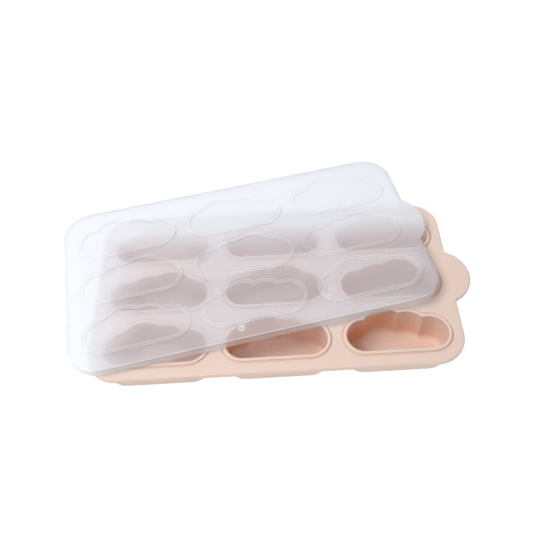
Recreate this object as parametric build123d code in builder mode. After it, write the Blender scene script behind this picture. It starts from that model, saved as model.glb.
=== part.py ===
# Freezer tray for baby food portions, with a loose frosted lid lying askew on it.
# Millimetres, +Z up. The origin is the middle of the surface that the tray stands on,
# +X points to the pull tab, and -Y to the straight sides of the cloud cups.

import os
from math import acos, atan2, cos, degrees, hypot, radians, sin, sqrt, tan

from build123d import *

# Tray: a soft deck with nine cups hanging below it
tray_length = 230.0
tray_width = 127.5
tray_height = 24.5
tray_corner_radius = 19.0
deck_thickness = 3.6
deck_edge_round = 1.0
tray_tab_width = 39.0
tray_tab_reach = 13.0
tray_tab_blend = 1.5

# Cups in three columns and three rows: margins from the deck's edges to the outer beads, and gaps
# between beads. The cups take the room that these leave.
end_margin = 7.1
side_margin = 8.15
column_gap = 7.7
row_gap = 5.5

# Cloud outline of a cup: four round lobes on one straight base line. The tallest lobe is as high as
# the cup, the others are a share of it, and two lobe centres are a share of the way to an end lobe's.
end_lobe_share = 0.777
small_lobe_share = 0.917
big_lobe_place_share = -0.356
small_lobe_place_share = 0.322
notch_radius = 0.6

# Cups: a drafted wall that rounds into a flat floor inside, turns in on a small round at its foot, and
# has a raised bead round its mouth
bead_width = 2.0
bead_height = 0.75
bead_round = 0.3
cup_wall_thickness = 2.0
cup_draft_angle = 2.5
cup_round = 4.0
foot_round = 1.2
cup_round_steps = 4
foot_width = 1.0
floor_clearance = 0.3

# Lid: a flat panel with a short skirt, and a raised band that seats over each bead
lid_clearance = 1.2
lid_wall = 1.4
lid_panel = 1.3
lid_height = 6.0
lid_corner_radius = 20.0
lid_edge_round = 1.1
lid_tab_width = 37.0
lid_tab_reach = 8.5
band_width = 2.6
band_height = 0.45
seat_clearance = 0.15
tab_gap_clearance = 0.4
gate_mark_diameter = 4.2
gate_mark_height = 0.25
gate_mark_offset = -12.0
gate_mark_inset = 7.0

# Where the lid lies: turned, slipped to the left and the back, and tilted on its three rests
lid_turn_angle = 10.5
lid_slip_left = 19.6
lid_slip_back = 23.0
lid_rest_gap = 0.2

# How far a cut runs out past the face that it opens
cut_overrun = 1.0

column_names = ("left", "centre", "right")
row_names = ("front", "middle", "back")

deck_top = tray_height
deck_underside = tray_height - deck_thickness
bead_edge = bead_width / 2
column_count = len(column_names)
row_count = len(row_names)
cup_length = (tray_length - 2 * end_margin - (column_count - 1) * column_gap) / column_count
cup_width = (tray_width - 2 * side_margin - (row_count - 1) * row_gap) / row_count
column_pitch = cup_length + column_gap
row_pitch = cup_width + row_gap
big_lobe_radius = cup_width / 2 - bead_edge
end_lobe_radius = end_lobe_share * big_lobe_radius
small_lobe_radius = small_lobe_share * big_lobe_radius
end_lobe_offset = cup_length / 2 - bead_edge - end_lobe_radius
big_lobe_offset = big_lobe_place_share * end_lobe_offset
small_lobe_offset = small_lobe_place_share * end_lobe_offset
cloud_base = -big_lobe_radius
lid_length = tray_length + 2 * (lid_clearance + lid_wall)
lid_width = tray_width + 2 * (lid_clearance + lid_wall)
lid_inside_height = lid_height - lid_panel


def circles_meeting(first, second):
    """Upper meeting point of two circles, each given as (x, y, radius)."""
    x, y, radius = first
    apart = hypot(second[0] - x, second[1] - y)
    heading = atan2(second[1] - y, second[0] - x)
    rise = acos((radius**2 + apart**2 - second[2] ** 2) / (2 * radius * apart))
    return (x + radius * cos(heading + rise), y + radius * sin(heading + rise))


def heading_to(centre, point):
    """Direction from a circle's centre to a point, in degrees from 0 to 360."""
    return degrees(atan2(point[1] - centre[1], point[0] - centre[0])) % 360


def cloud_outline(grow, flip, mode=Mode.ADD):
    """Cloud face on the current sketch, grown past the bead's middle line, or shrunk inside it."""
    notch = notch_radius + max(-grow, 0)
    lobes = (
        (-end_lobe_offset, cloud_base + end_lobe_radius, end_lobe_radius + grow),
        (big_lobe_offset, cloud_base + big_lobe_radius, big_lobe_radius + grow),
        (small_lobe_offset, cloud_base + small_lobe_radius, small_lobe_radius + grow),
        (end_lobe_offset, cloud_base + end_lobe_radius, end_lobe_radius + grow),
    )
    with BuildLine() as outline:
        leave = 270
        for lobe, following in zip(lobes, lobes[1:]):
            valley = circles_meeting((*lobe[:2], lobe[2] + notch), (*following[:2], following[2] + notch))
            outline_arc(lobe, leave, heading_to(lobe, valley), flip)
            outline_arc((*valley, notch), heading_to(valley, lobe), heading_to(valley, following), flip)
            leave = heading_to(following, valley)
        outline_arc(lobes[-1], leave, -90, flip)
        Line((flip * end_lobe_offset, cloud_base - grow), (-flip * end_lobe_offset, cloud_base - grow))
    make_face(outline.edges(), mode=mode)


def outline_arc(circle, start, end, flip):
    """Arc of a circle between two headings, mirrored across the cloud's middle if flip is -1."""
    x, y, radius = circle
    if flip < 0:
        start, end = 180 - start, 180 - end
    CenterArc((flip * x, y), radius, start, end - start)


def cup_places():
    """Name, plan position and handedness of each cup; the middle row is mirrored."""
    for row, row_name in enumerate(row_names):
        for column, column_name in enumerate(column_names):
            x = (column - (column_count - 1) / 2) * column_pitch
            y = (row - (row_count - 1) / 2) * row_pitch
            yield f"{row_name}_{column_name}", (x, y), -1 if row % 2 else 1


def wall_sections(grow, foot_height, radius):
    """One side of a cup's wall as (grow, height): straight from the deck, then rounding in to a flat."""
    drop = deck_underside - foot_height - radius
    shrunk = grow - drop * tan(radians(cup_draft_angle))
    sections = [(grow, deck_underside), (shrunk, foot_height + radius)]
    for step in range(1, cup_round_steps + 1):
        angle = radians(90 / cup_round_steps * step)
        sections.append((shrunk - radius * (1 - cos(angle)), foot_height + radius * (1 - sin(angle))))
    return sections


inside_sections = wall_sections(-bead_edge, cup_wall_thickness, cup_round)
outside_sections = wall_sections(cup_wall_thickness - bead_edge, 0, foot_round)
opening_grow = inside_sections[-1][0] - foot_width


def tab_circle(edge, width, reach):
    """Centre distance and radius of the round pull tab that stands out past an end edge."""
    radius = ((width / 2) ** 2 + reach**2) / (2 * reach)
    return edge + reach - radius, radius


os.makedirs("parts", exist_ok=True)

# Tray deck: a rounded plate with a pull tab, nine beads and nine cup mouths
tab_centre, tab_radius = tab_circle(tray_length / 2, tray_tab_width, tray_tab_reach)
with BuildPart() as tray_deck:
    with BuildSketch(Plane.XY.offset(deck_underside)) as deck_outline:
        RectangleRounded(tray_length, tray_width, tray_corner_radius)
        with Locations(Location((tab_centre, 0), 180)):
            Circle(tab_radius)
        tab_roots = deck_outline.vertices().filter_by_position(
            Axis.Y, -tray_tab_width / 2 - deck_edge_round, tray_tab_width / 2 + deck_edge_round
        )
        fillet(tab_roots.group_by(Axis.X)[-1], tray_tab_blend)
    extrude(amount=deck_thickness)
    fillet(tray_deck.faces().filter_by(Axis.Z).edges(), deck_edge_round)
    for name, place, flip in cup_places():
        with BuildSketch(Plane((*place, deck_top))):
            cloud_outline(bead_edge, flip)
    extrude(amount=bead_height)
    for name, place, flip in cup_places():
        with BuildSketch(Plane((*place, deck_underside))):
            cloud_outline(-bead_edge, flip)
    extrude(amount=deck_thickness + bead_height, mode=Mode.SUBTRACT)
    bead_tops = tray_deck.faces().filter_by(Axis.Z).group_by(Axis.Z)[-1]
    fillet(bead_tops.edges(), bead_round)
tray_deck.part.label = "tray_deck"
export_step(tray_deck.part, "parts/tray_deck.step")

# Cup walls: each a drafted cloud-shaped sleeve that turns in at the foot and leaves room for its floor
for name, place, flip in cup_places():
    with BuildPart() as cup_wall:
        for grow, height in outside_sections:
            with BuildSketch(Plane((*place, height))):
                cloud_outline(grow, flip)
        loft(ruled=True)
        for grow, height in inside_sections:
            with BuildSketch(Plane((*place, height))):
                cloud_outline(grow, flip)
        loft(ruled=True, mode=Mode.SUBTRACT)
        with BuildSketch(Plane((*place, 0))):
            cloud_outline(opening_grow, flip)
        extrude(amount=cup_wall_thickness, mode=Mode.SUBTRACT)
    cup_wall.part.label = f"cup_wall_{name}"
    export_step(cup_wall.part, f"parts/cup_wall_{name}.step")

# Cup floors: the soft bottom that is pushed up from below to free a frozen portion
for name, place, flip in cup_places():
    with BuildPart() as cup_floor:
        with BuildSketch(Plane((*place, 0))):
            cloud_outline(opening_grow - floor_clearance, flip)
        extrude(amount=cup_wall_thickness)
    cup_floor.part.label = f"cup_floor_{name}"
    export_step(cup_floor.part, f"parts/cup_floor_{name}.step")

# Three rests carry the lid: its front skirt stands on the first cup's bead, the end of its right
# skirt beside the tab gap on the deck's back edge, and its panel on the bead of the back left cup.
lid_ahead = Vector(cos(radians(lid_turn_angle)), sin(radians(lid_turn_angle)), 0)
lid_aside = Vector(-lid_ahead.Y, lid_ahead.X, 0)
lid_middle = Vector(-lid_slip_left, lid_slip_back, 0)
skirt_gap = 2 * tab_gap_clearance + 2 * sqrt(
    tab_radius**2 - (tray_length / 2 + lid_clearance - tab_centre) ** 2
)
front_line = lid_middle - lid_aside * (lid_width / 2 - lid_wall)
bead_line = -row_pitch + cloud_base - bead_edge
bead_end = -column_pitch - end_lobe_offset - end_lobe_radius - bead_edge
bead_crossing = front_line.X + (bead_line - front_line.Y) * lid_ahead.X / lid_ahead.Y
front_rest = Vector(max(bead_end, bead_crossing), bead_line, deck_top + bead_height + lid_rest_gap)
right_line = lid_middle + lid_ahead * (lid_length / 2 - lid_wall)
back_crossing = (tray_width / 2 - right_line.Y) / lid_aside.Y
right_rest = right_line + lid_aside * max(skirt_gap / 2, back_crossing)
right_rest += Vector(0, 0, deck_top + lid_rest_gap)
downhill = radians(90 + degrees(atan2(right_rest.Y - front_rest.Y, right_rest.X - front_rest.X)))
panel_rest = Vector(
    -column_pitch + big_lobe_offset + (big_lobe_radius + bead_edge) * cos(downhill),
    row_pitch + (big_lobe_radius + bead_edge) * sin(downhill),
    deck_top + bead_height + lid_rest_gap - lid_inside_height,
)
lid_up = (right_rest - front_rest).cross(panel_rest - front_rest).normalized()
lid_middle += Vector(0, 0, (front_rest - lid_middle).dot(lid_up) / lid_up.Z)
lid_foot = Plane(lid_middle, x_dir=lid_ahead - lid_up * lid_ahead.dot(lid_up), z_dir=lid_up)


def lid_plane(height, place=(0, 0)):
    """Plane parallel to the lid at a height above the skirt's foot, moved along the lid."""
    return Plane(lid_foot.from_local_coords((*place, height)), x_dir=lid_foot.x_dir, z_dir=lid_up)


# Lid: panel, skirt with a gap under the tab, tab, bands with bead seats under them, gate mark
lid_tab_centre, lid_tab_radius = tab_circle(lid_length / 2, lid_tab_width, lid_tab_reach)
with BuildPart() as lid:
    with BuildSketch(lid_plane(0)):
        RectangleRounded(lid_length, lid_width, lid_corner_radius)
    extrude(amount=lid_height)
    fillet(lid.faces().sort_by(Axis(lid_middle, lid_up))[-1].edges(), lid_edge_round)
    with BuildSketch(lid_plane(0)):
        RectangleRounded(lid_length - 2 * lid_wall, lid_width - 2 * lid_wall, lid_corner_radius - lid_wall)
    extrude(amount=lid_inside_height, mode=Mode.SUBTRACT)
    with BuildSketch(lid_plane(0, (lid_length / 2, 0))):
        Rectangle(2 * (lid_wall + cut_overrun), skirt_gap)
    extrude(amount=lid_inside_height, mode=Mode.SUBTRACT)
    with BuildSketch(lid_plane(lid_inside_height, (lid_tab_centre, 0))):
        Circle(lid_tab_radius)
    extrude(amount=lid_panel)
    for name, place, flip in cup_places():
        with BuildSketch(lid_plane(lid_height, place)):
            cloud_outline(band_width / 2, flip)
            cloud_outline(-band_width / 2, flip, mode=Mode.SUBTRACT)
    extrude(amount=band_height)
    for name, place, flip in cup_places():
        with BuildSketch(lid_plane(lid_inside_height, place)):
            cloud_outline(bead_edge + seat_clearance, flip)
            cloud_outline(-bead_edge - seat_clearance, flip, mode=Mode.SUBTRACT)
    extrude(amount=bead_height + seat_clearance, mode=Mode.SUBTRACT)
    with BuildSketch(lid_plane(lid_height, (gate_mark_offset, gate_mark_inset - lid_width / 2))):
        Circle(gate_mark_diameter / 2)
    extrude(amount=gate_mark_height)
lid.part.label = "lid"
export_step(lid.part, "parts/lid.step")
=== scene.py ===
from collections import namedtuple
from math import acos, atan2, cos, hypot, pi, radians, sin, sqrt, tan

import bmesh
import bpy
from bpy.props import FloatProperty, FloatVectorProperty, PointerProperty
from bpy.types import Operator, Panel, PropertyGroup
from mathutils import Matrix, Vector
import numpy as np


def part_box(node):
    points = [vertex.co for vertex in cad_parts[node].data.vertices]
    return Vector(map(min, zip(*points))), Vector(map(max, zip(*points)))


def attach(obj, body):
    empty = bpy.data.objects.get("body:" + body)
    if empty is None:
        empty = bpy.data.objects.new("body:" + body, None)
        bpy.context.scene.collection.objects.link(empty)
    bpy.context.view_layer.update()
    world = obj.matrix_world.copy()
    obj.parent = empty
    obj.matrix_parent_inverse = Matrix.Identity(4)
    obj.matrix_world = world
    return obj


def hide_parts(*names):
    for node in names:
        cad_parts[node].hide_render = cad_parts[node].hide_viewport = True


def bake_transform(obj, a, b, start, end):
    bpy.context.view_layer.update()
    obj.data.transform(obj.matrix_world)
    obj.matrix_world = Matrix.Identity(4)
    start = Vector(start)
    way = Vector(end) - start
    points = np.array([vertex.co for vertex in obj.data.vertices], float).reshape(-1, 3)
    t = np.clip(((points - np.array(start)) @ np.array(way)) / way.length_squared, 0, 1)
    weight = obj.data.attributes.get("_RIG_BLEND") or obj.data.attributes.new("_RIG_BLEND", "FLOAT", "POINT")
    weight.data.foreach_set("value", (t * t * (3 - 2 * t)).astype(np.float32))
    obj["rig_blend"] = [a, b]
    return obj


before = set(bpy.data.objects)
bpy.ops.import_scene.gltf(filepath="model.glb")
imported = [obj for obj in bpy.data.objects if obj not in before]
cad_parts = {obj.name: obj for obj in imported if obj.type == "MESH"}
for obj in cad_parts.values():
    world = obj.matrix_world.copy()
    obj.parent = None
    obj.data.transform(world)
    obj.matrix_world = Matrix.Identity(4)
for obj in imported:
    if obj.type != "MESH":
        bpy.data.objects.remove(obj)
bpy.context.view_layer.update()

bl_info = {
    "name": "Cloud Cup Freezer Tray",
    "version": (1, 0, 0),
    "blender": (4, 5, 0),
    "location": "View3D > Sidebar > Freezer Tray",
    "description": "Builds a soft freezer tray with cloud-shaped cups, its frosted lid and a plain studio",
    "category": "Add Mesh",
}

MM = 0.001
ROWS = ("front", "middle", "back")
COLUMNS = ("left", "centre", "right")

# Cups that the lid leaves open where it lies; they get the full painted shade
OPEN_CUPS = ("front_centre", "front_right")

# Painted shade and painted highlights that the meshes carry and the finishes read
PAINTED_SHADE = "cup_painted_shade"
HIGHLIGHT_LAYER = "edge_painted_highlight"

# How strongly painted highlights whiten the lid's panel edge, skirt and moulding mark
PANEL_EDGE_HIGHLIGHT = 0.8
SKIRT_HIGHLIGHT = 0.5
MARK_HIGHLIGHT = 2

# Points along each stretch of the outlines
BASE_COUNT = 16
LOBE_COUNTS = (34, 16, 18, 34)
NOTCH_COUNT = 6
STOP_COUNT = 2
BLEND_COUNT = 8
TAB_ARC_COUNT = 44
TAB_COUNT = 2 * STOP_COUNT + 2 * BLEND_COUNT + TAB_ARC_COUNT
CORNER_COUNT = 18
END_COUNT = 10
SIDE_COUNT = 40
MARK_COUNT = 40

# Steps along the small rounds, the grooves and the cups' walls
DECK_EDGE_STEPS = 6
GROOVE_STEPS = 6
BANK_STEPS = 4
FLOOR_ROUND_STEPS = 9
WALL_STEPS = 12
CROWN_STEPS = 5
LIP_STEPS = 5
FOOT_STEPS = 6
LID_EDGE_STEPS = 7
SKIRT_STEPS = 4

# Small rounds and reaches, as shares of the size that carries them
FLOOR_REACH_SHARE = 1.4
CROWN_SHARE = 0.45
LIP_SHARE = 0.6
SKIRT_FOOT_SHARE = 0.3
SKIRT_CORNER_SHARE = 0.5
SEAT_BEVEL_SHARE = 0.1

# Rows of a band and of the moulding mark: share of its half width, and of the band's height
BAND_SHARES = ((1.3, 0.0), (1.12, 0.0), (1.07, 0.2), (1.0, 0.72), (0.92, 0.97), (0.84, 1.0), (0.75, 0.9),
               (0.66, 0.6), (0.57, 0.42), (0.3, 0.38))
MARK_SHARES = ((1.25, 0.0), (1.1, 0.0), (1.0, 0.1), (0.9, 0.4), (0.75, 0.5), (0.55, 0.45), (0.4, 0.2),
               (0.25, 0.12))

# Heights of the skirt's rows on its outside and inside, as shares of its height
SKIRT_OUTSIDE_SHARES = (0.75, 0.5, 0.25)
SKIRT_INSIDE_SHARES = (0.4, 0.7)

# Upward lean that a face of the lid's level top has at least
LEVEL_LEAN = 0.98

# Range that the noise textures mostly keep to, and the finishes that follow it
NOISE_RANGE = (0.3, 0.7)
SATIN_ROUGHNESS = (0.5, 0.62)
FLOOR_UNEVENNESS = 1.02

# Stage, in metres: the floor, and each lamp's place over the middle of the deck with its size
FLOOR_SIZE = 6.0
FLOOR_DROP = 0.2 * MM
LAMPS = {
    "key_light": ((-0.64, -0.12, 1.1), 0.7),
    "back_light": ((-0.3, 1.1, 0.85), 1.5),
    "fill_light": ((0.3, -0.9, 0.8), 1.0),
}

# Lowest and highest corner of the deck's CAD solid
deck_low, deck_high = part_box("tray_deck")


def length(name, description, default):
    """A length property, given in millimetres."""
    return FloatProperty(name=name, description=description, default=default * MM, unit="LENGTH",
                         precision=5)


def angle(name, description, default):
    """An angle property, given in degrees."""
    return FloatProperty(name=name, description=description, default=radians(default), subtype="ANGLE")


def fraction(name, description, default):
    """A property from 0 to 1."""
    return FloatProperty(name=name, description=description, default=default, min=0.0, max=1.0,
                         subtype="FACTOR")


def colour(name, description, default):
    """A linear colour property."""
    return FloatVectorProperty(name=name, description=description, default=default, subtype="COLOR",
                               min=0.0, max=1.0)


class CloudShape(PropertyGroup):
    """Outline shared by the cups and the lid's bands: four lobes on one straight base line."""
    end_radius: length("End Lobe Radius", "Radius of the lobe at each end", 12.2)
    end_offset: length("End Lobe Offset", "From the cloud's middle to an end lobe's centre", 20.2)
    big_radius: length("Big Lobe Radius", "Radius of the tallest lobe", 15.7)
    big_offset: length("Big Lobe Offset", "From the cloud's middle to the tallest lobe's centre", -7.2)
    small_radius: length("Small Lobe Radius", "Radius of the lower inner lobe", 14.4)
    small_offset: length("Small Lobe Offset", "From the cloud's middle to the lower lobe's centre", 6.5)
    notch_radius: length("Notch Radius", "Round in the valley between two lobes", 0.6)
    column_pitch: length("Column Pitch", "From one cup to the next along the tray", 74.5)
    row_pitch: length("Row Pitch", "From one cup to the next across the tray", 38.9)


class TrayShape(PropertyGroup):
    """Deck and cups of the soft tray."""
    length: length("Tray Length", "Length of the deck without its tab", 230.0)
    width: length("Tray Width", "Width of the deck", 127.5)
    corner: length("Deck Corner", "Corner radius of the deck", 19.0)
    tab_width: length("Tab Width", "Width of the pull tab at the deck's edge", 39.0)
    tab_reach: length("Tab Reach", "How far the pull tab stands out", 13.0)
    tab_blend: length("Tab Blend", "Round where the tab meets the deck", 1.5)
    edge_round: length("Deck Edge Round", "Round along the deck's edge", 1.0)
    bead_width: length("Bead Width", "Width of the raised bead round a cup's mouth", 2.0)
    bead_height: length("Bead Height", "Height of that bead over the deck", 0.75)
    groove_width: length("Groove Width", "Width of the soft groove outside the bead", 1.5)
    groove_depth: length("Groove Depth", "Depth of that groove", 0.18)
    wall: length("Cup Wall", "Thickness of a cup's wall and floor", 2.0)
    round: length("Cup Round", "Inner round between a cup's wall and floor", 4.0)
    foot_round: length("Foot Round", "Outer round at a cup's foot", 1.2)
    draft: angle("Cup Draft", "Slope of a cup's wall", 2.5)


class PaintedCupShade(PropertyGroup):
    """Painted shade inside the cups and in the grooves round their beads: a deeper, more saturated colour
    where they lie in shade.
    """
    # Painted shade: deepest down a cup's left wall, which faces away from the key light, faint on its floor,
    # and weaker in the cups under the lid
    depth: length("Tone Depth", "How far below its rim a cup's inside reaches its deeper tone", 9.0)
    floor: fraction("Floor Tone", "Deeper tone on a cup's floor", 0.16)
    wall: fraction("Wall Tone", "Deeper tone that a cup's wall adds", 0.5)
    side: fraction("Side Tone", "How much deeper the wall is on its left, and lighter on its right", 0.55)
    covered: fraction("Covered Tone", "Share of the tone in the cups that the lid lies over", 0.4)
    # Painted shade in the grooves outside the beads
    groove: fraction("Groove Tone", "Deeper tone in the groove outside a bead", 0.5)


class LidShape(PropertyGroup):
    """Frosted lid, in its own frame with the skirt's foot at zero height."""
    length: length("Lid Length", "Length of the lid without its tab", 235.2)
    width: length("Lid Width", "Width of the lid", 132.7)
    corner: length("Lid Corner", "Corner radius of the lid", 20.0)
    height: length("Lid Height", "From the skirt's foot to the panel's top", 6.0)
    panel: length("Panel Thickness", "Thickness of the panel", 1.3)
    wall: length("Skirt Thickness", "Thickness of the skirt", 1.4)
    edge_round: length("Lid Edge Round", "Round along the panel's top edge", 1.1)
    tab_width: length("Lid Tab Width", "Width of the lid's tab at its edge", 37.0)
    tab_reach: length("Lid Tab Reach", "How far the lid's tab stands out", 8.5)
    tab_blend: length("Lid Tab Blend", "Round where the tab meets the panel", 0.6)
    skirt_gap: length("Skirt Gap", "Gap in the skirt under the tab", 38.7)
    band_width: length("Band Width", "Width of the raised band over a cup's bead", 2.6)
    band_height: length("Band Height", "Height of that band's lips", 0.45)
    seat_depth: length("Seat Depth", "Depth of the channel under a band", 0.9)
    seat_width: length("Seat Width", "Width of the channel under a band", 2.3)
    gate_radius: length("Gate Mark Radius", "Radius of the small round moulding mark", 2.1)
    gate_offset: length("Gate Mark Offset", "From the lid's middle to the mark, along the lid", -12.0)
    gate_inset: length("Gate Mark Inset", "From the lid's front edge to the mark", 7.0)
    turn: angle("Lid Turn", "How far the lid is turned on the tray", 10.5)


class LidFrost(PropertyGroup):
    """How milky the lid is and how it passes light, with painted highlights on its edges and painted light
    over its back and left end.
    """
    finest: fraction("Finest Frost", "Least roughness of the frosted grain", 0.28)
    coarsest: fraction("Coarsest Frost", "Greatest roughness of the frosted grain", 0.3)
    # Painted light: the lid is made milkier, so lighter, and blurrier toward the lamps on the left and at the
    # back
    back_start: length("Back Haze Start", "Where the haze over the back begins, across the tray", 15.0)
    back_end: length("Back Haze End", "Where the haze over the back is full", 55.0)
    back_painted_haze: fraction("Back Haze", "Strength of the haze over the back", 0.55)
    left_start: length("Left Haze Start", "Where the haze over the left end begins, along the tray", -80.0)
    left_end: length("Left Haze End", "Where the haze over the left end is full", -120.0)
    left_painted_haze: fraction("Left Haze", "Strength of the haze over the left end", 0.45)
    haze_blur: fraction("Haze Blur", "Roughness that full haze adds", 0.45)
    clear_pass: fraction("Clear Pass", "Share of the light that the clear panel passes", 0.55)
    # Light that the lid passes where painted highlights and painted haze make it milky
    painted_milky_pass: fraction("Milky Pass", "Share of the light that a milky edge passes", 0.42)
    straight: fraction("Straight View", "Share of the view that passes the clear panel unblurred", 0.52)
    veil: fraction("Veil", "Haze at which nothing passes unblurred", 0.5)
    # Painted highlights also count as haze in the unblurred view
    highlight_veil: fraction("Line Veil", "Haze that a frosted edge counts for in the straight view", 0.32)
    lamp_near: fraction("Near Lamp Pass", "Share of lamp light that passes the lid's tray side", 0.04)
    lamp_far: fraction("Far Lamp Pass", "Share of lamp light that passes the lid's lamp side", 0.56)
    bend: FloatProperty(name="Bend", description="Index of refraction of the frosted panel", default=1.24)


class FinishColours(PropertyGroup):
    """Colours of the silicone, the frosted plastic and the stage."""
    silicone: colour("Silicone", "Main colour of the soft tray", (0.78, 0.62, 0.54))
    silicone_warm: colour("Warm Silicone", "Deeper tone that clouds the main colour", (0.755, 0.59, 0.505))
    # Painted shade colour inside the cups and in the grooves
    silicone_shade: colour("Deep Silicone", "Deeper tone inside the cups", (0.77, 0.38, 0.225))
    frosted: colour("Frosted Plastic", "Main colour of the lid", (0.785, 0.806, 0.85))
    frosted_milk: colour("Milky Plastic", "Whiter tone that clouds the lid", (0.81, 0.83, 0.868))
    # Painted highlight colour of the lid's edges, also the tint of the light that passes the lid unblurred
    highlight_and_pass: colour("Frosted Edge", "Tone of the lid's edges, which look whiter", (0.95, 0.95, 0.97))
    floor: colour("Floor", "Colour of the pale floor", (0.12, 0.12, 0.12))


class StudioSetup(PropertyGroup):
    """Camera and light."""
    lens: FloatProperty(name="Lens", description="Focal length for a 36 mm sensor", default=45.58,
                        unit="CAMERA")
    azimuth: angle("Azimuth", "Camera's turn about the tray", -1.525)
    elevation: angle("Elevation", "Camera's height angle", 51.686)
    roll: angle("Roll", "Camera's roll", -1.951)
    distance: length("Distance", "From the camera to the point on the deck that it faces", 452.52)
    aim_x: length("Aim X", "Point on the deck that the camera faces, along the tray", 13.64)
    aim_y: length("Aim Y", "Point on the deck that the camera faces, across the tray", 21.69)
    shift_x: FloatProperty(name="Shift X", description="Sideways shift of the frame", default=-0.0504)
    shift_y: FloatProperty(name="Shift Y", description="Upward shift of the frame", default=-0.0172)
    world_strength: FloatProperty(name="Room Light", description="Strength of the even light all round",
                                  default=0.3)
    key_power: FloatProperty(name="Key Light", description="Power of the large light on the left",
                             default=12.0, unit="POWER")
    back_power: FloatProperty(name="Back Light", description="Power of the wide light behind the tray",
                              default=5.0, unit="POWER")
    fill_power: FloatProperty(name="Fill Light", description="Power of the wide light in front of the tray",
                              default=2.5, unit="POWER")


class FreezerTraySettings(PropertyGroup):
    """Everything that a user would change."""
    cloud: PointerProperty(type=CloudShape)
    tray: PointerProperty(type=TrayShape)
    tone: PointerProperty(type=PaintedCupShade)
    lid: PointerProperty(type=LidShape)
    frost: PointerProperty(type=LidFrost)
    finish: PointerProperty(type=FinishColours)
    studio: PointerProperty(type=StudioSetup)


# Outlines

Rim = namedtuple("Rim", "half_length half_width corner tab_centre tab_radius blend stop")


def arc(centre, radius, start, end, count):
    """Points along an arc, without its last one."""
    steps = [start + (end - start) * i / count for i in range(count)]
    return [(centre[0] + radius * cos(a), centre[1] + radius * sin(a)) for a in steps]


def run(start, end, count):
    """Points along a straight run, without its last one."""
    return [(start[0] + (end[0] - start[0]) * i / count, start[1] + (end[1] - start[1]) * i / count)
            for i in range(count)]


def bearing(centre, point):
    """Direction from one point to another, from 0 to a full turn."""
    return atan2(point[1] - centre[1], point[0] - centre[0]) % (2 * pi)


def valley_between(left, right):
    """Upper meeting point of two circles, each given as (x, y, radius)."""
    apart = hypot(right[0] - left[0], right[1] - left[1])
    rise = acos((left[2] ** 2 + apart**2 - right[2] ** 2) / (2 * left[2] * apart))
    turn = atan2(right[1] - left[1], right[0] - left[0]) + rise
    return left[0] + left[2] * cos(turn), left[1] + left[2] * sin(turn)


def cloud_loop(cloud, place, flip, grow):
    """Points round one cloud, counter-clockwise, grown past the bead's middle line or shrunk in it."""
    base = -cloud.big_radius
    notch = cloud.notch_radius + max(-grow, 0)
    lobes = [
        (cloud.end_offset, base + cloud.end_radius, cloud.end_radius + grow),
        (cloud.small_offset, base + cloud.small_radius, cloud.small_radius + grow),
        (cloud.big_offset, base + cloud.big_radius, cloud.big_radius + grow),
        (-cloud.end_offset, base + cloud.end_radius, cloud.end_radius + grow),
    ]
    points = run((-cloud.end_offset, base - grow), (cloud.end_offset, base - grow), BASE_COUNT)
    start = -pi / 2
    for lobe, following, count in zip(lobes, lobes[1:], LOBE_COUNTS):
        valley = valley_between((*following[:2], following[2] + notch), (*lobe[:2], lobe[2] + notch))
        points += arc(lobe, lobe[2], start, bearing(lobe, valley), count)
        points += arc(valley, notch, bearing(valley, lobe), bearing(valley, following), NOTCH_COUNT)
        start = bearing(following, valley)
    points += arc(lobes[-1], lobes[-1][2], start, 3 * pi / 2, LOBE_COUNTS[-1])
    if flip < 0:
        points = [(-x, y) for x, y in reversed(points)]
    return [(x + place[0], y + place[1]) for x, y in points]


def make_rim(half_length, half_width, corner, tab_width, tab_reach, blend, stop):
    """Rounded rectangle with a round tab on its right end."""
    radius = ((tab_width / 2) ** 2 + tab_reach**2) / (2 * tab_reach)
    return Rim(half_length, half_width, corner, half_length + tab_reach - radius, radius, blend, stop)


def rim_loop(rim, grow):
    """Points round a rim, counter-clockwise, from the stop below the tab.

    The point with the number TAB_COUNT is the stop above the tab.
    """
    right = rim.half_length + grow
    top = rim.half_width + grow
    corner = rim.corner + grow
    blend = rim.blend - grow
    blend_x = rim.half_length + rim.blend
    blend_y = sqrt((rim.tab_radius + rim.blend) ** 2 - (blend_x - rim.tab_centre) ** 2)
    lean = atan2(blend_y, blend_x - rim.tab_centre)
    corner_x = rim.half_length - rim.corner
    corner_y = rim.half_width - rim.corner
    points = run((right, -rim.stop), (right, -blend_y), STOP_COUNT)
    points += arc((blend_x, -blend_y), blend, pi, pi - lean, BLEND_COUNT)
    points += arc((rim.tab_centre, 0), rim.tab_radius + grow, -lean, lean, TAB_ARC_COUNT)
    points += arc((blend_x, blend_y), blend, pi + lean, pi, BLEND_COUNT)
    points += run((right, blend_y), (right, rim.stop), STOP_COUNT)
    points += run((right, rim.stop), (right, corner_y), END_COUNT)
    points += arc((corner_x, corner_y), corner, 0, pi / 2, CORNER_COUNT)
    points += run((corner_x, top), (-corner_x, top), SIDE_COUNT)
    points += arc((-corner_x, corner_y), corner, pi / 2, pi, CORNER_COUNT)
    points += run((-right, corner_y), (-right, -corner_y), 2 * END_COUNT)
    points += arc((-corner_x, -corner_y), corner, pi, 3 * pi / 2, CORNER_COUNT)
    points += run((-corner_x, -top), (corner_x, -top), SIDE_COUNT)
    points += arc((corner_x, -corner_y), corner, 3 * pi / 2, 2 * pi, CORNER_COUNT)
    points += run((right, -corner_y), (right, -rim.stop), END_COUNT)
    return points


def circle_loop(place, radius):
    """Points round a circle."""
    return arc(place, radius, 0, 2 * pi, MARK_COUNT)


def steps(count):
    """Even steps from 0 to 1, both included."""
    return [i / count for i in range(count + 1)]


def quarter(radius, count):
    """(run, rise) along a quarter round, from flat to upright."""
    return [(radius * sin(pi / 2 * t), radius * (1 - cos(pi / 2 * t))) for t in steps(count)]


# Mesh building

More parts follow.
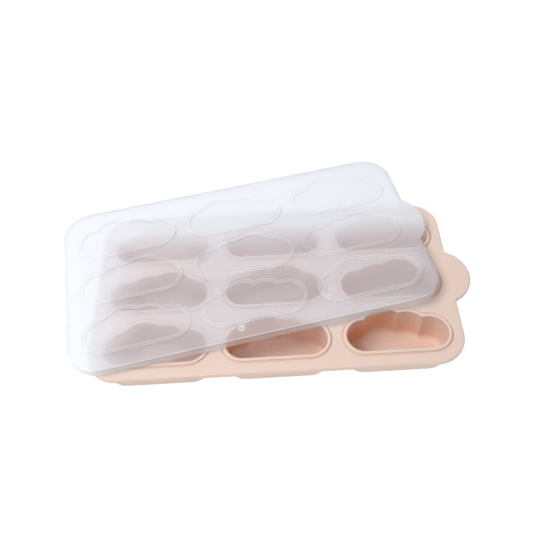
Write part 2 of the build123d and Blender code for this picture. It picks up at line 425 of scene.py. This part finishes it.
def ring(bm, points, height):
    """A closed row of vertices at one height."""
    return [bm.verts.new((x, y, height)) for x, y in points]


def bridge(bm, first, second, closed=True):
    """Quads between two rows of the same count."""
    count = len(first)
    for i in range(count if closed else count - 1):
        j = (i + 1) % count
        bm.faces.new((first[i], first[j], second[j], second[i]))


def skin(bm, rings, closed=True):
    """Quads between each row and the next."""
    for first, second in zip(rings, rings[1:]):
        bridge(bm, first, second, closed)


def row_edges(bm, row, closed=True):
    """The edges along a row, made where they are missing."""
    ends = list(zip(row, row[1:])) + ([(row[-1], row[0])] if closed else [])
    return [bm.edges.get(pair) or bm.edges.new(pair) for pair in ends]


def paint(bm, layer, row, amount):
    """Sets one of the mesh's tones along a row."""
    tone = bm.verts.layers.float[layer]
    for vertex in row:
        vertex[tone] = amount


def fill_flat(bm, *rows):
    """Flat triangles inside the first closed row and outside the others."""
    edges = [edge for row in rows for edge in row_edges(bm, row)]
    bmesh.ops.triangle_fill(bm, use_beauty=True, use_dissolve=False, edges=edges, normal=(0, 0, 1))


def finish_piece(bm, name, material, matrix=None):
    """Turns the mesh into a smooth-shaded object with outward faces, and checks that it is closed."""
    bmesh.ops.recalc_face_normals(bm, faces=bm.faces)
    loose = [edge for edge in bm.edges if len(edge.link_faces) != 2]
    if loose:
        raise RuntimeError(f"{name} is open along {len(loose)} edges")
    if bm.calc_volume(signed=True) < 0:
        bmesh.ops.reverse_faces(bm, faces=bm.faces)
    mesh = bpy.data.meshes.new(name)
    bm.to_mesh(mesh)
    bm.free()
    if matrix is not None:
        mesh.transform(matrix)
    mesh.polygons.foreach_set("use_smooth", [True] * len(mesh.polygons))
    mesh.materials.append(material)
    piece = bpy.data.objects.new(name, mesh)
    bpy.context.scene.collection.objects.link(piece)
    return piece


def placed(ahead, aside, up, origin):
    """A frame with these three directions, at a point."""
    matrix = Matrix((ahead, aside, up)).transposed().to_4x4()
    matrix.translation = origin
    return matrix


def cup_places(cloud):
    """Name, plan position and handedness of each cup; the middle row is mirrored."""
    for row, row_name in enumerate(ROWS):
        for column, column_name in enumerate(COLUMNS):
            place = ((column - 1) * cloud.column_pitch, (row - 1) * cloud.row_pitch)
            yield f"{row_name}_{column_name}", place, -1 if row == 1 else 1


# Materials

def new_material(name):
    """An empty node material with its shader, and a function that adds and links nodes."""
    material = bpy.data.materials.new(name)
    material.use_nodes = True
    tree = material.node_tree
    shader = tree.nodes["Principled BSDF"]

    def add(kind, inputs=None, **values):
        node = tree.nodes.new(kind)
        for key, value in values.items():
            setattr(node, key, value)
        for key, value in (inputs or {}).items():
            if isinstance(value, bpy.types.NodeSocket):
                tree.links.new(value, node.inputs[key])
            else:
                node.inputs[key].default_value = value
        return node

    return material, shader, add


def link_to(shader, **sockets):
    """Links node outputs to the shader's inputs by name, with spaces written as underscores."""
    tree = shader.id_data
    for name, output in sockets.items():
        tree.links.new(output, shader.inputs[name.replace("_", " ")])


def mixed(add, factor, first, second):
    """Two colours mixed by a factor. Each is a colour with its alpha, or another node's output."""
    return add("ShaderNodeMix", {"Factor": factor, 6: first, 7: second}, data_type="RGBA").outputs[2]


def computed(add, operation, *values):
    """The result of one sum on numbers or other nodes' outputs."""
    return add("ShaderNodeMath", dict(enumerate(values)), operation=operation).outputs["Value"]


def mapped(add, value, low, high, start=0.0, end=1.0, **kind):
    """A value between start and end, mapped to run from low to high."""
    limits = {"Value": value, "From Min": start, "From Max": end, "To Min": low, "To Max": high}
    return add("ShaderNodeMapRange", limits, **kind).outputs["Result"]


def silicone_material(settings):
    """Soft matte silicone: peach, slightly clouded, with a fine satin grain that scatters light, and painted
    shade inside the cups and grooves.
    """
    finish = settings.finish
    material, shader, add = new_material("matte_silicone")
    place = add("ShaderNodeTexCoord").outputs["Object"]
    clouds = add("ShaderNodeTexNoise", {"Vector": place, "Scale": 14.0, "Detail": 3.0, "Roughness": 0.55})
    tone = mixed(add, clouds.outputs["Fac"], (*finish.silicone, 1), (*finish.silicone_warm, 1))
    # Painted shade: a deeper colour where the mesh carries painted shade, inside the cups and in the grooves
    depth = add("ShaderNodeAttribute", attribute_name=PAINTED_SHADE)
    shaded = mixed(add, depth.outputs["Fac"], tone, (*finish.silicone_shade, 1))
    grain = add("ShaderNodeTexNoise", {"Vector": place, "Scale": 1900.0, "Detail": 2.0, "Roughness": 0.6})
    satin = mapped(add, grain.outputs["Fac"], *SATIN_ROUGHNESS, *NOISE_RANGE)
    bump = add("ShaderNodeBump", {"Height": grain.outputs["Fac"], "Strength": 0.06, "Distance": 0.2 * MM})
    link_to(shader, Base_Color=shaded, Roughness=satin, Normal=bump.outputs["Normal"])
    shader.inputs["IOR"].default_value = 1.41
    shader.inputs["Specular IOR Level"].default_value = 0.6
    shader.inputs["Subsurface Weight"].default_value = 0.2
    shader.inputs["Subsurface Radius"].default_value = (1.0, 0.5, 0.33)
    shader.inputs["Subsurface Scale"].default_value = 2.5 * MM
    return material


def frosted_material(settings):
    """Frosted polypropylene: see-through, made milky and lighter at its edges by painted highlights, and at
    its back and left end by painted light.
    """
    finish, frost = settings.finish, settings.frost
    material, shader, add = new_material("frosted_polypropylene")
    place = add("ShaderNodeTexCoord").outputs["Object"]
    milk = add("ShaderNodeTexNoise", {"Vector": place, "Scale": 11.0, "Detail": 3.0, "Roughness": 0.5})
    tone = mixed(add, milk.outputs["Fac"], (*finish.frosted, 1), (*finish.frosted_milk, 1))
    # Painted highlights: the lid is whiter and milkier where the mesh carries them, on the panel edge, skirt,
    # band lips and mark
    edges = add("ShaderNodeAttribute", attribute_name=HIGHLIGHT_LAYER).outputs["Fac"]
    highlighted = mixed(add, edges, tone, (*finish.highlight_and_pass, 1))

    # Painted light: haze that makes the lid milkier, so lighter, over the back and the left end, toward the
    # lamps there; it also blurs more
    axes = add("ShaderNodeSeparateXYZ", {"Vector": place})
    behind = mapped(add, axes.outputs["Y"], 0.0, frost.back_painted_haze, frost.back_start, frost.back_end,
                    interpolation_type="SMOOTHSTEP")
    beside = mapped(add, axes.outputs["X"], 0.0, frost.left_painted_haze, frost.left_start, frost.left_end,
                    interpolation_type="SMOOTHSTEP")
    haze = computed(add, "MAXIMUM", behind, beside)
    painted_milkiness = computed(add, "MAXIMUM", edges, haze)
    clearness = mapped(add, painted_milkiness, frost.clear_pass, frost.painted_milky_pass)
    grain = add("ShaderNodeTexNoise", {"Vector": place, "Scale": 420.0, "Detail": 2.0, "Roughness": 0.55})
    fine = mapped(add, grain.outputs["Fac"], frost.finest, frost.coarsest, *NOISE_RANGE)
    softness = computed(add, "MULTIPLY_ADD", haze, frost.haze_blur, fine)
    link_to(shader, Base_Color=highlighted, Roughness=softness, Transmission_Weight=clearness)
    shader.inputs["IOR"].default_value = frost.bend

    # Soft glow on what lies under the lid, a little lamp light, and a share of the view unblurred
    path = add("ShaderNodeLightPath")
    glow = add("ShaderNodeBsdfTranslucent", {"Color": (*finish.frosted, 1)})
    scattered = add("ShaderNodeMixShader", {0: path.outputs["Is Diffuse Ray"], 1: shader.outputs["BSDF"],
                                            2: glow.outputs["BSDF"]})
    far_face = add("ShaderNodeNewGeometry").outputs["Backfacing"]
    through = mapped(add, far_face, frost.lamp_near, frost.lamp_far)
    lamps = computed(add, "MULTIPLY", path.outputs["Is Shadow Ray"], through)
    # Painted highlights and painted haze cut the unblurred view
    lines = computed(add, "MULTIPLY", edges, frost.highlight_veil)
    veil = computed(add, "MAXIMUM", lines, haze)
    straight = mapped(add, veil, frost.straight, 0.0, end=frost.veil)
    seen = computed(add, "MAXIMUM", far_face, straight)
    share = computed(add, "MULTIPLY_ADD", path.outputs["Is Camera Ray"], seen, lamps)
    clear = add("ShaderNodeBsdfTransparent", {"Color": (*finish.highlight_and_pass, 1)})
    surface = add("ShaderNodeMixShader", {0: share, 1: scattered.outputs["Shader"],
                                          2: clear.outputs["BSDF"]})
    output = material.node_tree.nodes["Material Output"]
    material.node_tree.links.new(surface.outputs["Shader"], output.inputs["Surface"])
    return material


def floor_material(settings):
    """Plain pale floor with a barely uneven tone and a light of its own."""
    floor = settings.finish.floor
    material, shader, add = new_material("pale_floor")
    place = add("ShaderNodeTexCoord").outputs["Object"]
    unevenness = add("ShaderNodeTexNoise", {"Vector": place, "Scale": 2.0, "Detail": 2.0})
    lighter = [min(1.0, value * FLOOR_UNEVENNESS) for value in floor]
    tone = mixed(add, unevenness.outputs["Fac"], (*floor, 1), (*lighter, 1))
    link_to(shader, Base_Color=tone)
    shader.inputs["Roughness"].default_value = 0.9
    shader.inputs["Specular IOR Level"].default_value = 0.1
    shader.inputs["Emission Color"].default_value = (1.0, 0.99, 0.975, 1)
    shader.inputs["Emission Strength"].default_value = 0.97
    return material


def get_material(name, maker, settings):
    """The named material, made on its first use."""
    return bpy.data.materials.get(name) or maker(settings)


# Pieces

class FREEZERTRAY_OT_deck(Operator):
    """Makes the soft deck with its pull tab and the openings for the cups"""
    bl_idname = "freezer_tray.deck"
    bl_label = "Make Deck"

    def execute(self, context):
        settings = context.scene.freezer_tray
        cloud, tray, tone = settings.cloud, settings.tray, settings.tone
        rim = make_rim(tray.length / 2, tray.width / 2, tray.corner, tray.tab_width, tray.tab_reach,
                       tray.tab_blend, tray.tab_width / 2 + 3 * tray.tab_blend)
        top = deck_high.z - tray.bead_height
        bottom = deck_low.z
        guard = tray.edge_round
        bm = bmesh.new()
        bm.verts.layers.float.new(PAINTED_SHADE)
        edge = quarter(tray.edge_round, DECK_EDGE_STEPS)
        profile = [(-tray.edge_round - guard, top)]
        profile += [(run_out - tray.edge_round, top - drop) for run_out, drop in edge]
        profile += [(run_out - tray.edge_round, bottom + drop) for run_out, drop in reversed(edge)]
        profile += [(-tray.edge_round - guard, bottom)]
        outside = [ring(bm, rim_loop(rim, grow), height) for grow, height in profile]
        skin(bm, outside)
        seam = tray.bead_width / 2 + tray.groove_width / 2
        bank = tray.groove_width / 2
        hole = [(seam + 2 * bank, top)]
        hole += [(seam + bank * (1 - t), top - tray.groove_depth * (1 - cos(pi * t)) / 2)
                 for t in steps(GROOVE_STEPS)]
        hole += [(seam, (top + bottom) / 2), (seam, bottom), (seam + bank, bottom)]
        upper, lower = [], []
        for _, place, flip in cup_places(cloud):
            rings = [ring(bm, cloud_loop(cloud, place, flip, grow), height) for grow, height in hole]
            skin(bm, rings)
            # Painted shade in the groove outside each bead
            for row, (_, height) in zip(rings, hole):
                paint(bm, PAINTED_SHADE, row, tone.groove * min(1, (top - height) / tray.groove_depth))
            upper.append(rings[0])
            lower.append(rings[-1])
        fill_flat(bm, outside[0], *upper)
        fill_flat(bm, outside[-1], *lower)
        piece = finish_piece(bm, "soft_deck", get_material("matte_silicone", silicone_material, settings))
        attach(piece, "tray")
        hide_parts("tray_deck")
        return {"FINISHED"}


def cup_profile(tray, top):
    """(grow, height) from a cup's floor up its inside, over the bead and down its outside."""
    half_bead = tray.bead_width / 2
    bead_top = top + tray.bead_height
    under = deck_low.z
    wall_foot = tray.wall + tray.round
    slope = tan(tray.draft)
    inset = half_bead + (under - wall_foot) * slope
    rows = [(-inset - FLOOR_REACH_SHARE * tray.round, tray.wall)]
    rows += [(-inset - tray.round + run_out, tray.wall + rise)
             for run_out, rise in quarter(tray.round, FLOOR_ROUND_STEPS)]
    for t in steps(WALL_STEPS)[1:]:
        rows.append((-inset + (under - wall_foot) * slope * t, wall_foot + (under - wall_foot) * t))

    # Bead, with a crown on both sides, and the groove outside it down to the seam with the deck
    crown = CROWN_SHARE * half_bead
    rows += [(-half_bead, (under + top) / 2), (-half_bead, top)]
    brow = quarter(crown, CROWN_STEPS)
    rows += [(-half_bead + rise, bead_top - crown + run_out) for run_out, rise in brow]
    rows += [(half_bead - rise, bead_top - crown + run_out) for run_out, rise in reversed(brow)]
    bank = tray.groove_width / 2
    rows += [(half_bead + run_out, top - tray.groove_depth + rise)
             for run_out, rise in ((bank * t, tray.groove_depth * (1 - t) ** 2) for t in steps(BANK_STEPS))]
    rows.append((half_bead + bank, under))

    # Outside, from the fillet under the deck down to the foot
    outer = tray.wall - half_bead
    lip = LIP_SHARE * tray.wall
    rows += [(outer + lip - run_in, under - drop) for run_in, drop in quarter(lip, LIP_STEPS)]
    for t in steps(WALL_STEPS)[1:]:
        height = under - lip + (tray.foot_round - under + lip) * t
        rows.append((outer - (under - height) * slope, height))
    foot = rows[-1][0] - tray.foot_round
    sole = quarter(tray.foot_round, FOOT_STEPS)
    rows += [(foot + run_out, rise) for run_out, rise in reversed(sole[:-1])]
    rows.append((foot - tray.foot_round, 0))
    return rows


def painted_cup_shade(settings, place, point):
    """Painted shade at a point inside a cup: deeper down the wall and on its left side, which faces away from
    the key light, faint on the floor.
    """
    cloud, tray, tone = settings.cloud, settings.tray, settings.tone
    side = (place[0] - point.x) / (cloud.end_offset + cloud.end_radius)
    upright = min(1.0, max(0.0, (point.z - tray.wall) / tray.round))
    shade = min(1.0, max(0.0, tone.floor + upright * (tone.wall + tone.side * side)))
    return shade * min(1.0, (deck_high.z - point.z) / tone.depth)


class FREEZERTRAY_OT_cups(Operator):
    """Makes the nine cloud cups with the beads round their mouths"""
    bl_idname = "freezer_tray.cups"
    bl_label = "Make Cups"

    def execute(self, context):
        settings = context.scene.freezer_tray
        cloud, tray, tone = settings.cloud, settings.tray, settings.tone
        material = get_material("matte_silicone", silicone_material, settings)
        top = deck_high.z - tray.bead_height
        profile = cup_profile(tray, top)
        rim = profile.index(max(profile, key=lambda row: row[1]))
        for name, place, flip in cup_places(cloud):
            # Full painted shade in the open cups, less in the cups under the lid, where the light is softer
            strength = 1.0 if name in OPEN_CUPS else tone.covered
            bm = bmesh.new()
            depth = bm.verts.layers.float.new(PAINTED_SHADE)
            rings = [ring(bm, cloud_loop(cloud, place, flip, grow), height) for grow, height in profile]
            skin(bm, rings)
            for row in rings[:rim]:
                for vertex in row:
                    vertex[depth] = strength * painted_cup_shade(settings, place, vertex.co)
            # Painted shade in the groove outside the bead
            for row, (_, height) in zip(rings[rim:], profile[rim:]):
                paint(bm, PAINTED_SHADE, row, tone.groove * (deck_low.z < height < top))
            fill_flat(bm, rings[0])
            fill_flat(bm, rings[-1])
            piece = finish_piece(bm, f"cloud_cup_{name}", material)
            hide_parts(f"cup_wall_{name}", f"cup_floor_{name}")
            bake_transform(piece, "tray", f"floor_{name}", start=(*place, 0.8 * top), end=(*place, 0.22 * top))
        return {"FINISHED"}


def lid_matrix(lid):
    """The lid's own frame, measured on its CAD node: origin at the middle of the skirt's foot."""
    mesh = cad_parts["lid"].data
    up = Vector()
    for face in mesh.polygons:
        if face.normal.z > LEVEL_LEAN:
            up += face.normal * face.area
    up.normalize()
    ahead = Vector((cos(lid.turn), sin(lid.turn), 0))
    ahead = (ahead - up * ahead.dot(up)).normalized()
    aside = up.cross(ahead)
    along = [vertex.co.dot(ahead) for vertex in mesh.vertices]
    across = [vertex.co.dot(aside) for vertex in mesh.vertices]
    above = [vertex.co.dot(up) for vertex in mesh.vertices]
    middle = ahead * (min(along) + lid.length / 2) + aside * (min(across) + max(across)) / 2
    return placed(ahead, aside, up, middle + up * min(above))


class FREEZERTRAY_OT_lid(Operator):
    """Makes the frosted lid with its skirt, tab, raised bands and seats"""
    bl_idname = "freezer_tray.lid"
    bl_label = "Make Lid"

    def execute(self, context):
        settings = context.scene.freezer_tray
        cloud, lid = settings.cloud, settings.lid
        rim = make_rim(lid.length / 2, lid.width / 2, lid.corner, lid.tab_width, lid.tab_reach,
                       lid.tab_blend, lid.skirt_gap / 2)
        top = lid.height
        under = lid.height - lid.panel
        guard = lid.edge_round
        bm = bmesh.new()
        bm.verts.layers.float.new(HIGHLIGHT_LAYER)

        # Panel edge, all the way round and along the tab, with a guard row under the tab
        rounded = quarter(lid.edge_round, LID_EDGE_STEPS)
        rows = [(-lid.edge_round - guard, top)]
        rows += [(run_out - lid.edge_round, top - drop) for run_out, drop in rounded]
        rows.append((0, under))
        edge = [ring(bm, rim_loop(rim, grow), height) for grow, height in rows]
        skin(bm, edge)
        # Painted highlight along the panel's rounded edge
        for row, t in zip(edge[1:], steps(LID_EDGE_STEPS)):
            paint(bm, HIGHLIGHT_LAYER, row, PANEL_EDGE_HIGHLIGHT * sin(pi * t))
        tab = ring(bm, rim_loop(rim, -guard)[:TAB_COUNT + 1], under)
        bridge(bm, edge[-1][:TAB_COUNT + 1], tab, closed=False)

        # Skirt from the stop above the tab round to the stop below it
        foot = SKIRT_FOOT_SHARE * lid.wall
        corner = SKIRT_CORNER_SHARE * lid.wall
        sole = quarter(foot, SKIRT_STEPS)
        inner = quarter(corner, SKIRT_STEPS)
        rows = [(0, under * share) for share in SKIRT_OUTSIDE_SHARES]
        rows += [(run_out - foot, rise) for run_out, rise in reversed(sole)]
        rows += [(foot - lid.wall - run_in, rise) for run_in, rise in sole]
        rows += [(-lid.wall, under * share) for share in SKIRT_INSIDE_SHARES]
        rows += [(-lid.wall - drop, under - corner + run_in) for run_in, drop in inner]
        rows.append((-lid.wall - corner - guard, under))
        skirt = [edge[-1][TAB_COUNT:] + edge[-1][:1]]
        for grow, height in rows:
            points = rim_loop(rim, grow)
            skirt.append(ring(bm, points[TAB_COUNT:] + points[:1], height))
            # Painted highlight on the skirt, strongest at its foot
            paint(bm, HIGHLIGHT_LAYER, skirt[-1], max(SKIRT_HIGHLIGHT, 1 - height / foot))
        skin(bm, skirt, closed=False)
        for end in (0, -1):
            bm.faces.new([row[end] for row in skirt] + [tab[-1 - end]])

        # Bands on top and seats underneath
        half_band = lid.band_width / 2
        half_seat = lid.seat_width / 2
        lift = lid.band_height
        band = [(share * half_band, top + rise * lift) for share, rise in BAND_SHARES]
        band += [(-grow, height) for grow, height in reversed(band)]
        bevel = SEAT_BEVEL_SHARE * half_seat
        seat = [(half_seat + 4 * bevel, under), (half_seat + bevel, under), (half_seat, under + bevel),
                (half_seat, under + lid.seat_depth - bevel), (half_seat - bevel, under + lid.seat_depth)]
        seat += [(-grow, height) for grow, height in reversed(seat)]
        upper, lower = [], []
        for _, place, flip in cup_places(cloud):
            for rows, outlines in ((band, upper), (seat, lower)):
                rings = [ring(bm, cloud_loop(cloud, place, flip, grow), height) for grow, height in rows]
                skin(bm, rings)
                fill_flat(bm, rings[-1])
                outlines.append(rings[0])
                # Painted highlight on the band lips
                for row, (_, height) in zip(rings, rows):
                    paint(bm, HIGHLIGHT_LAYER, row, max(0, (height - top) / lift) ** 2)

        # Small round moulding mark
        place = (lid.gate_offset, lid.gate_inset - lid.width / 2)
        rings = [ring(bm, circle_loop(place, share * lid.gate_radius), top + rise * lift)
                 for share, rise in MARK_SHARES]
        skin(bm, rings)
        # Painted highlight on the moulding mark
        for row, (_, rise) in zip(rings, MARK_SHARES):
            paint(bm, HIGHLIGHT_LAYER, row, MARK_HIGHLIGHT * rise)
        fill_flat(bm, rings[-1])
        fill_flat(bm, edge[0], *upper, rings[0])
        fill_flat(bm, tab + skirt[-1], *lower)

        material = get_material("frosted_polypropylene", frosted_material, settings)
        piece = finish_piece(bm, "frosted_lid", material, lid_matrix(lid))
        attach(piece, "lid")
        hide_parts("lid")
        return {"FINISHED"}


class FREEZERTRAY_OT_stage(Operator):
    """Sets the pale floor, the soft studio light and the camera"""
    bl_idname = "freezer_tray.stage"
    bl_label = "Set Stage"

    def execute(self, context):
        scene = context.scene
        settings = scene.freezer_tray
        studio = settings.studio
        top = deck_high.z - settings.tray.bead_height

        bm = bmesh.new()
        bmesh.ops.create_grid(bm, x_segments=8, y_segments=8, size=FLOOR_SIZE)
        mesh = bpy.data.meshes.new("floor")
        bm.to_mesh(mesh)
        bm.free()
        mesh.materials.append(get_material("pale_floor", floor_material, settings))
        floor = bpy.data.objects.new("floor", mesh)
        floor.location.z = -FLOOR_DROP
        scene.collection.objects.link(floor)

        world = bpy.data.worlds.new("studio_room")
        world.use_nodes = True
        background = world.node_tree.nodes["Background"]
        background.inputs["Color"].default_value = (1.0, 1.0, 1.0, 1)
        background.inputs["Strength"].default_value = studio.world_strength
        scene.world = world

        aim = Vector((0, 0, top))
        powers = {
            "key_light": studio.key_power,
            "back_light": studio.back_power,
            "fill_light": studio.fill_power,
        }
        for name, (place, size) in LAMPS.items():
            offset = Vector(place)
            lamp = bpy.data.lights.new(name, "AREA")
            lamp.energy = powers[name]
            lamp.size = size
            light = bpy.data.objects.new(name, lamp)
            light.location = aim + offset
            light.rotation_euler = (-offset).to_track_quat("-Z", "Y").to_euler()
            scene.collection.objects.link(light)

        level = Vector((sin(studio.azimuth), -cos(studio.azimuth), 0)) * cos(studio.elevation)
        back = level + Vector((0, 0, sin(studio.elevation)))
        right = (-back).cross(Vector((0, 0, 1))).normalized()
        up = right.cross(-back)
        rolled_right = right * cos(studio.roll) + up * sin(studio.roll)
        rolled_up = up * cos(studio.roll) - right * sin(studio.roll)
        eye = Vector((studio.aim_x, studio.aim_y, top)) + back * studio.distance
        lens = bpy.data.cameras.new("camera")
        lens.sensor_width = 36.0
        lens.lens = studio.lens
        lens.shift_x = studio.shift_x
        lens.shift_y = studio.shift_y
        lens.clip_start = 0.01
        camera = bpy.data.objects.new("camera", lens)
        camera.matrix_world = placed(rolled_right, rolled_up, back, eye)
        scene.collection.objects.link(camera)
        scene.camera = camera
        scene.view_settings.view_transform = "Standard"
        return {"FINISHED"}


class FREEZERTRAY_PT_panel(Panel):
    """Lists the tray's pieces and settings"""
    bl_idname = "FREEZERTRAY_PT_panel"
    bl_label = "Freezer Tray"
    bl_space_type = "VIEW_3D"
    bl_region_type = "UI"
    bl_category = "Freezer Tray"

    def draw(self, context):
        for operator in OPERATORS:
            self.layout.operator(operator.bl_idname)
        settings = context.scene.freezer_tray
        for group in (getattr(settings, name) for name in settings.__annotations__):
            box = self.layout.box()
            for name in group.__annotations__:
                box.prop(group, name)


GROUPS = (CloudShape, TrayShape, PaintedCupShade, LidShape, LidFrost, FinishColours, StudioSetup,
          FreezerTraySettings)
OPERATORS = (FREEZERTRAY_OT_stage, FREEZERTRAY_OT_deck, FREEZERTRAY_OT_cups, FREEZERTRAY_OT_lid)


def register():
    for cls in (*GROUPS, *OPERATORS, FREEZERTRAY_PT_panel):
        bpy.utils.register_class(cls)
    bpy.types.Scene.freezer_tray = PointerProperty(type=FreezerTraySettings)


def unregister():
    del bpy.types.Scene.freezer_tray
    for cls in reversed((*GROUPS, *OPERATORS, FREEZERTRAY_PT_panel)):
        bpy.utils.unregister_class(cls)


def main():
    """Builds everything in order."""
    register()
    bpy.ops.freezer_tray.stage()
    bpy.ops.freezer_tray.deck()
    bpy.ops.freezer_tray.cups()
    bpy.ops.freezer_tray.lid()


if __name__ == "__main__":
    main()
